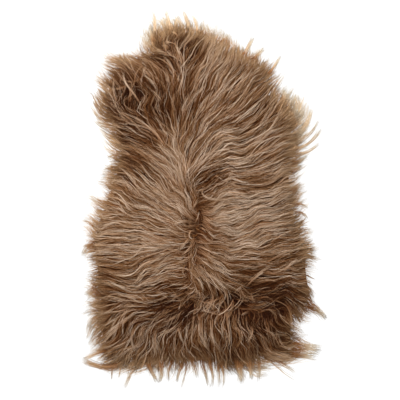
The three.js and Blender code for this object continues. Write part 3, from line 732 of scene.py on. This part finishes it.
def grow_tangles(rng):
    """Loose wisps that curl away from the combing, with their ends in the wool."""
    FIBRES = 4
    FIBRE_RADIUS = 0.34
    WIDTH = 2.4  # how far apart the fibres of a wisp lie
    TURN = 0.8  # how far wisps turn from the combing, in radians
    CURL = 1.6  # and how far they curl along their length
    CURL_LENGTH_SPREAD = 0.3
    ENDS_LEVEL = 0.75  # height of a wisp's ends, as a share of the wool's
    BOW = 0.3  # how much higher its middle is
    TIP_RISE = 3
    FIBRE_TONE_SPREAD = 0.08
    table = columns(TANGLE_COLUMNS, TANGLES)
    tangle = np.repeat(np.arange(len(TANGLES)), table["curls"])
    count = len(tangle)
    middle = np.stack([
        table["x"][tangle] + table["radius_x"][tangle] * rng.normal(size=count),
        table["y"][tangle] + table["radius_y"][tangle] * rng.normal(size=count),
    ], axis=1)
    comb = comb_at(middle)
    heading = np.arctan2(comb[:, 1], comb[:, 0]) + TURN * rng.normal(size=count)
    curl = CURL * rng.normal(size=count)
    share = np.linspace(0, 1, LOCK_RINGS + 1)[None]
    angle = heading[:, None] + curl[:, None] * (share - 0.5)
    step = table["length"][tangle] * varied(rng.normal(size=count), CURL_LENGTH_SPREAD) / LOCK_RINGS
    line = np.cumsum(step[:, None, None] * np.stack([np.cos(angle), np.sin(angle)], axis=2), axis=1)
    line = line - line.mean(axis=1, keepdims=True) + middle[:, None]
    rise = TIP_RISE * np.abs(rng.normal(size=count))
    tone = table["tone"][tangle] + LOCK_TONE_SPREAD * rng.normal(size=count)

    fibre = np.repeat(np.arange(count), FIBRES)
    line = line[fibre]
    aside = WIDTH * rng.normal(size=len(fibre))[:, None] * (1 - 0.5 * share)
    line = line + aside[..., None] * side_of(line)
    top = read(HEIGHT, line)
    z = top * (ENDS_LEVEL + BOW * np.sin(math.pi * share)) + rise[fibre, None] * share
    radius = np.broadcast_to(FIBRE_RADIUS * (1 - share**3) + TIP_RADIUS, z.shape)
    tone = tone[fibre] + FIBRE_TONE_SPREAD * rng.normal(size=len(fibre))
    return finished(line, z, radius, tone, share)


def add_object(name, data):
    """An object in the scene, from a mesh, a lamp or a camera."""
    made = bpy.data.objects.new(name, data)
    bpy.context.scene.collection.objects.link(made)
    return made


def add_piece(name, mesh):
    """A piece of the wool from a mesh."""
    mesh.materials.append(WOOL)
    piece = add_object(name, mesh)
    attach(piece, "root")
    return piece


# On the flat map of a piece of strands each strand has a square cell: its sides lie in the middle, and the
# small face at its root lies below them
CELL_MARGIN = 0.15
ROOT_CAP = ((0.3, -0.11), (0.5, -0.03), (0.7, -0.11))


def add_map(mesh, places):
    """A flat map for baked textures, from a place for each corner of each of a mesh's faces."""
    layer = mesh.uv_layers.new(name="OFBake")
    layer.data.foreach_set("uv", places.astype(np.float32).ravel())


def set_values(mesh, values):
    """Give the points of a mesh the values that the material reads."""
    for key, value in values.items():
        data = mesh.attributes.new(key, "FLOAT", "POINT").data
        data.foreach_set("value", value.astype(np.float32).ravel())


def strand_piece(name, strands):
    """A piece of closed three-sided strands that taper to a point."""
    lines, radius, values = strands
    sides = 3
    count, rings = lines.shape[0], lines.shape[1] - 1
    along = np.gradient(lines, axis=1)
    side = unit(np.cross((0.0, 0.0, 1.0), along))
    up = unit(np.cross(along, side))

    points = np.empty((count, sides * rings + 1, 3))
    for j in range(sides):
        angle = math.pi / 2 + 2 * math.pi * j / sides
        spoke = math.cos(angle) * side + math.sin(angle) * up
        points[:, j : sides * rings : sides] = (lines + radius[..., None] * spoke)[:, :rings]
    points[:, -1] = lines[:, -1]

    def index(j, k):
        """The place of a corner on side j and ring k in the list of a strand's points."""
        return sides * k + (j % sides if k < rings else 0)

    walls = [
        ((j, k), (j + 1, k), (j + 1, k + 1), (j, k + 1)) for k in range(rings - 1) for j in range(sides)
    ]
    walls += [((j, rings - 1), (j + 1, rings - 1), (j + 0.5, rings)) for j in range(sides)]
    faces = [*([index(*corner) for corner in wall] for wall in walls), (2, 1, 0)]
    flat = np.concatenate([np.concatenate(walls) / (sides, rings), ROOT_CAP])
    per_strand = sides * rings + 1
    corners = (np.concatenate(faces)[None] + per_strand * np.arange(count)[:, None]).ravel()
    sizes = np.tile([len(face) for face in faces], count)

    mesh = bpy.data.meshes.new(name)
    mesh.vertices.add(count * per_strand)
    mesh.vertices.foreach_set("co", (MM * points).astype(np.float32).ravel())
    mesh.loops.add(len(corners))
    mesh.loops.foreach_set("vertex_index", corners.astype(np.int32))
    mesh.polygons.add(len(sizes))
    mesh.polygons.foreach_set("loop_start", (np.cumsum(sizes) - sizes).astype(np.int32))
    mesh.polygons.foreach_set("use_smooth", np.ones(len(sizes), bool))
    mesh.update(calc_edges=True)
    set_values(mesh, {
        key: np.concatenate([np.repeat(value[:, :rings], sides, axis=1), value[:, rings:]], axis=1)
        for key, value in values.items()
    })
    cells = math.ceil(math.sqrt(count))
    cell = np.stack(np.divmod(np.arange(count), cells), axis=1)
    add_map(mesh, (cell[:, None] + CELL_MARGIN + (1 - 2 * CELL_MARGIN) * flat) / cells)
    return add_piece(name, mesh)


def linear(colour):
    """A screen colour of 0 to 255 as the linear colour that Blender takes."""
    parts = [part / 255 for part in colour]
    return (*[part / 12.92 if part <= 0.04045 else ((part + 0.055) / 1.055) ** 2.4 for part in parts], 1)


def set_inputs(node, values):
    """Give a node's inputs plain values."""
    for name, value in values.items():
        node.inputs[name].default_value = value


def wool_material():
    """Wool: dark and rusty at the root, pale at the tip, and warmer where it thins out at the rim.

    Part of the root's darkness is painted shade deep in the pile, and part of the rim's warmth is painted
    glow of light shining through thin fibres.
    """
    material = bpy.data.materials.new("wool")
    material.use_nodes = True
    nodes, links = material.node_tree.nodes, material.node_tree.links
    shader = nodes["Principled BSDF"]
    set_inputs(shader, {"Specular IOR Level": 0.04})

    def attribute(name):
        """One of the values that a piece's points have."""
        node = nodes.new("ShaderNodeAttribute")
        node.attribute_name = name
        return node.outputs["Fac"]

    def ramp(source, stops):
        """A colour for each value, blended between stops."""
        node = nodes.new("ShaderNodeValToRGB")
        points = node.color_ramp.elements
        while len(points) < len(stops):
            points.new(0.5)
        for point, (place, colour) in zip(points, stops):
            point.position = place
            point.color = linear(colour)
        links.new(source, node.inputs["Fac"])
        return node.outputs["Color"]

    def mix(kind, amount, first, second):
        """Two colours in one, by a fixed share or by a value."""
        node = nodes.new("ShaderNodeMix")
        node.data_type = "RGBA"
        node.blend_type = kind
        if isinstance(amount, float):
            set_inputs(node, {"Factor": amount})
        else:
            links.new(amount, node.inputs["Factor"])
        links.new(first, node.inputs["A"])
        links.new(second, node.inputs["B"])
        return node.outputs["Result"]

    body = ramp(attribute("tone"), (
        (0.0, (44, 19, 4)), (0.3, (88, 51, 21)), (0.6, (132, 100, 71)), (1.0, (181, 162, 144)),
    ))
    # Darker towards the root: partly the wool's own colour, bleached towards the tip, and partly painted
    # shade deep in the pile
    root_colour_and_shade = ramp(attribute("along"), (
        (0.0, (130, 94, 64)), (0.35, (214, 190, 168)), (0.75, (255, 255, 255)), (1.0, (255, 250, 240)),
    ))
    worn_and_shaded = mix("MULTIPLY", 1.0, body, root_colour_and_shade)
    # The rim's colour: partly the thinning wool's own, partly painted glow of light shining through thin
    # fibres
    warm = ramp(attribute("along"), (
        (0.0, (108, 65, 36)), (0.4, (156, 113, 75)), (0.75, (184, 152, 116)), (1.0, (196, 168, 132)),
    ))
    shade = ramp(attribute("tone"), ((0.05, (140, 120, 104)), (0.55, (255, 255, 255))))
    loose = ramp(attribute("rim"), ((RIM_WARMTH, (0, 0, 0)), (1.0, (255, 255, 255))))
    pale = ramp(attribute("along"), ((0.5, (180, 157, 129)), (1.0, (188, 180, 163))))
    warm = mix("MULTIPLY", 1.0, mix("MIX", loose, warm, pale), shade)
    coat = mix("MIX", attribute("rim"), worn_and_shaded, warm)

    coordinates = nodes.new("ShaderNodeTexCoord")
    grain = nodes.new("ShaderNodeTexNoise")
    set_inputs(grain, {"Scale": 700, "Detail": 1})
    links.new(coordinates.outputs["Object"], grain.inputs["Vector"])
    fleck = ramp(grain.outputs["Fac"], ((0.3, (232, 228, 222)), (0.7, (255, 255, 255))))
    links.new(mix("MULTIPLY", 1.0, coat, fleck), shader.inputs["Base Color"])
    gloss = nodes.new("ShaderNodeMapRange")
    set_inputs(gloss, {"To Min": 0.5, "To Max": 0.7})
    links.new(grain.outputs["Fac"], gloss.inputs["Value"])
    links.new(gloss.outputs["Result"], shader.inputs["Roughness"])
    bump = nodes.new("ShaderNodeBump")
    set_inputs(bump, {"Strength": 0.25, "Distance": 0.3 * MM})
    links.new(grain.outputs["Fac"], bump.inputs["Height"])
    links.new(bump.outputs["Normal"], shader.inputs["Normal"])
    return material


# On the flat map of the body the top fills the left half, the bottom the right half, and the sides a strip
# over both
TOP_START = 0.02
BOTTOM_START = 0.52
HALF_SPAN = 0.46
MAP_FOOT = 0.02
MAP_HEIGHT = 0.92
STRIP_LOW = 0.96
STRIP_HIGH = 0.98


def body_piece(name, rows, cols, inset, height, bottom):
    """A closed piece inside the rug's outline: its top follows the wool's at a share of the height."""
    station = np.linspace(SECTION["y"][-1] - inset, SECTION["y"][0] + inset, rows + 1)
    across = np.linspace(-1, 1, cols + 1)
    y = station[:, None] - END_BOW * across[None] ** 2 * np.linspace(1, -1, rows + 1)[:, None]
    left = np.maximum(section("left", station - inset), section("left", station + inset)) + inset
    right = np.minimum(section("right", station - inset), section("right", station + inset)) - inset
    x = left[:, None] + (right - left)[:, None] * (across[None] + 1) / 2
    top = np.stack([x, y, height * read(HEIGHT, np.stack([x, y], axis=2))], axis=2).reshape(-1, 3)
    base = np.stack([x, y, np.full_like(x, bottom)], axis=2).reshape(-1, 3)

    def index(row, col):
        """The place of a point in the list of the top's points."""
        return row * (cols + 1) + col

    def mapped(row, col, start):
        """A place on the flat map, in the half that starts there."""
        return start + HALF_SPAN * col / cols, MAP_FOOT + MAP_HEIGHT * row / rows

    faces = []
    flat = []
    under = len(top)
    for row in range(rows):
        for col in range(cols):
            a, b = index(row, col), index(row + 1, col)
            faces.append((a, b, b + 1, a + 1))
            flat += [mapped(row + i, col + j, TOP_START) for i, j in ((0, 0), (1, 0), (1, 1), (0, 1))]
            faces.append((under + a, under + a + 1, under + b + 1, under + b))
            flat += [mapped(row + i, col + j, BOTTOM_START) for i, j in ((0, 0), (0, 1), (1, 1), (1, 0))]
    ring = [index(row, 0) for row in range(rows)]
    ring += [index(rows, col) for col in range(cols)]
    ring += [index(row, cols) for row in range(rows, 0, -1)]
    ring += [index(0, col) for col in range(cols, 0, -1)]
    for k, (here, after) in enumerate(zip(ring, ring[1:] + ring[:1])):
        faces.append((here, under + here, under + after, after))
        u, next_u = k / len(ring), (k + 1) / len(ring)
        flat += [(u, STRIP_HIGH), (u, STRIP_LOW), (next_u, STRIP_LOW), (next_u, STRIP_HIGH)]
    mesh = bpy.data.meshes.new(name)
    mesh.from_pydata((MM * np.concatenate([top, base])).tolist(), [], faces)
    mesh.shade_smooth()
    mesh.update()
    add_map(mesh, np.array(flat))
    return add_piece(name, mesh)


def add_by_region(strands, regions):
    """Strands as several pieces, parted by where the middle of each strand lies."""
    lines = strands[0]
    rings = lines.shape[1] - 1
    x, y, _ = lines[:, rings // 2].T
    for name, inside in regions.items():
        strand_piece(name, chosen(strands, inside(x, y)))


# Lines at which the long wool and the middle wool are parted into pieces
NECK_LINE = 220
RUMP_LINE = -280
SPINE_LINE = -25
WAIST_LINE = 0

WOOL = wool_material()
long_tip = spread(rng, LONG_WOOL)
add_by_region(grow(rng, LONG_WOOL, long_tip, long_tip), {
    "long_wool_neck": lambda x, y: y > NECK_LINE,
    "long_wool_left": lambda x, y: (y <= NECK_LINE) & (y > RUMP_LINE) & (x <= SPINE_LINE),
    "long_wool_right": lambda x, y: (y <= NECK_LINE) & (y > RUMP_LINE) & (x > SPINE_LINE),
    "long_wool_rump": lambda x, y: y <= RUMP_LINE,
})
strand_piece("stray_wool", grow(rng, STRAY_WOOL, spread(rng, STRAY_WOOL), long_tip))
add_by_region(grow(rng, MIDDLE_WOOL, spread(rng, MIDDLE_WOOL), long_tip), {
    "middle_wool_front": lambda x, y: y > WAIST_LINE,
    "middle_wool_back": lambda x, y: y <= WAIST_LINE,
})
for name, look in (("underwool", UNDERWOOL), ("wool_fringe", FRINGE), ("rim_skirt", SKIRT)):
    strand_piece(name, grow(rng, look, spread(rng, look), long_tip))
strand_piece("rim_locks", grow_locks(rng, RIM_LOCKS, thick=0.40, loose=0.42, loose_tip=0.22))
strand_piece("top_locks", grow_locks(rng, TOP_LOCKS, thick=0.42, loose=0.55, loose_tip=0.4))
strand_piece("tangled_wool", grow_tangles(rng))

# The dense body under the strands: how far it stays inside the rim, its height as a share of the wool's,
# the height of its underside, and its colour, which is that of a strand part of the way up
BODY_INSET = 17
BODY_HEIGHT = 0.6
BODY_BOTTOM = 1.0
BODY_TONE = 0.22
BODY_PATCH = 0.8
# The colour of a strand this far up is darker partly through painted shade deep in the pile
BODY_ALONG = 0.35
fleece = body_piece(
    "fleece_body", rows=80, cols=48,
    inset=BODY_INSET, height=BODY_HEIGHT, bottom=BODY_BOTTOM,
)
body_points = np.array([corner.co for corner in fleece.data.vertices]) / MM
set_values(fleece.data, {
    "tone": BODY_TONE + BODY_PATCH * read(TONE, body_points),
    "along": np.full(len(body_points), BODY_ALONG),
    "rim": rim_glow(body_points),
})
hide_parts("fleece")


def make_floor():
    """A plain pale floor just under the rug."""
    HALF_SIZE = 6.0
    LEVEL = -0.001
    mesh = bpy.data.meshes.new("floor")
    corners = [(x * HALF_SIZE, y * HALF_SIZE, LEVEL) for x, y in ((-1, -1), (1, -1), (1, 1), (-1, 1))]
    mesh.from_pydata(corners, [], [(0, 1, 2, 3)])
    material = bpy.data.materials.new("floor")
    material.use_nodes = True
    set_inputs(material.node_tree.nodes["Principled BSDF"], {
        "Base Color": (0.1, 0.1, 0.1, 1),
        "Emission Color": (1, 1, 1, 1),
        "Emission Strength": 0.8,
        "Roughness": 0.9,
    })
    mesh.materials.append(material)
    floor = add_object("floor", mesh)


def make_light():
    """White light from all round, and one soft lamp high up towards the neck's left."""
    world = bpy.data.worlds.new("studio")
    world.use_nodes = True
    set_inputs(world.node_tree.nodes["Background"], {"Color": (1, 1, 1, 1), "Strength": 1.5})
    bpy.context.scene.world = world
    lamp = bpy.data.lights.new("key", "AREA")
    lamp.shape = "DISK"
    lamp.size = 0.9
    lamp.energy = 160
    key = add_object("key", lamp)
    key.location = (-1.0, 1.3, 2.2)
    key.rotation_euler = (-key.location).to_track_quat("-Z", "Y").to_euler()


def make_camera():
    """A camera straight above the rug, with the photo's frame."""
    VIEW = 1.12  # width that the picture shows at the height of the wool
    WOOL_LEVEL = 0.03
    MIDDLE = (-0.0098, 0.0014)
    LENS = 85
    data = bpy.data.cameras.new("camera")
    data.lens = LENS
    data.sensor_width = 36
    camera = add_object("camera", data)
    distance = VIEW * LENS / data.sensor_width
    camera.location = (*MIDDLE, distance + WOOL_LEVEL)
    bpy.context.scene.camera = camera


make_floor()
make_light()
make_camera()
bpy.context.scene.view_settings.view_transform = "Standard"
